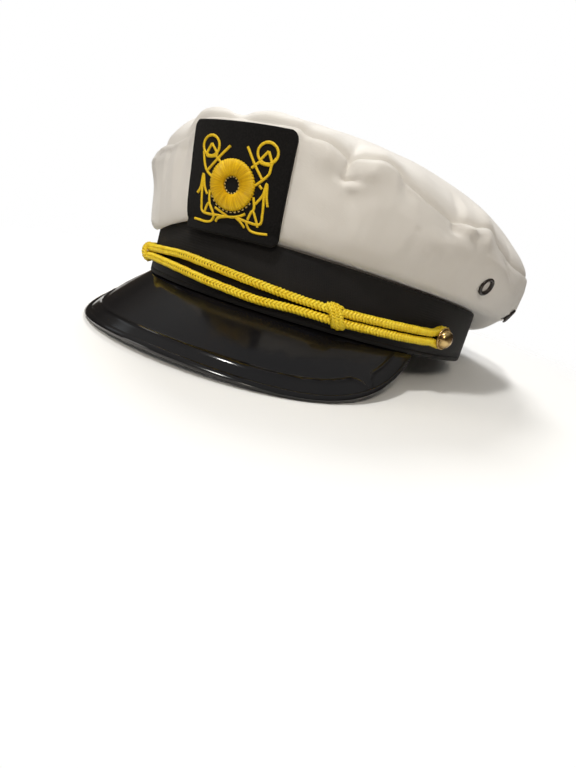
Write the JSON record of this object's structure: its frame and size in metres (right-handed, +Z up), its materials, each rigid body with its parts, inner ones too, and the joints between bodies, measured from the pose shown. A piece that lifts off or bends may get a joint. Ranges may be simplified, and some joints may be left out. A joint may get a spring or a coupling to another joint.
{
  "type": "captain hat",
  "caption": "Soft white captain hat with a black band, a glossy moulded peak, an embroidered front patch and a gold braided cord held by side buttons.",
  "frame": {"origin": "middle of the base of the hat's bounding box, on the surface that it rests on", "axes": "+Z up, -Y towards the front of the hat and its peak, +X towards the wearer's left"},
  "size_m": [0.2104, 0.261, 0.1002],
  "materials": {
    "white_cloth": "plain woven cotton blend with a faint sheen",
    "black_cloth": "matt black cloth over card",
    "peak_plastic": "glossy black moulded plastic",
    "patch_cloth": "matt black felt patch",
    "gold_thread": "satin stitched golden yellow thread",
    "gold_cord": "braided golden yellow cord with a soft sheen",
    "brass_button": "polished, slightly worn brass",
    "black_eyelet": "gloss black enamelled eyelet"
  },
  "bodies": {
    "root": {"crown_side": "white_cloth", "crown_top": "white_cloth", "band": "black_cloth", "peak": "peak_plastic", "badge_patch": "patch_cloth", "badge_embroidery": "gold_thread", "cord_upper": "gold_cord", "cord_lower": "gold_cord", "knot_left": "gold_cord", "knot_right": "gold_cord", "button_left": "brass_button", "button_right": "brass_button", "eyelet_left_front": "black_eyelet", "eyelet_left_rear": "black_eyelet", "eyelet_right_front": "black_eyelet", "eyelet_right_rear": "black_eyelet"}
  },
  "joints": []
}
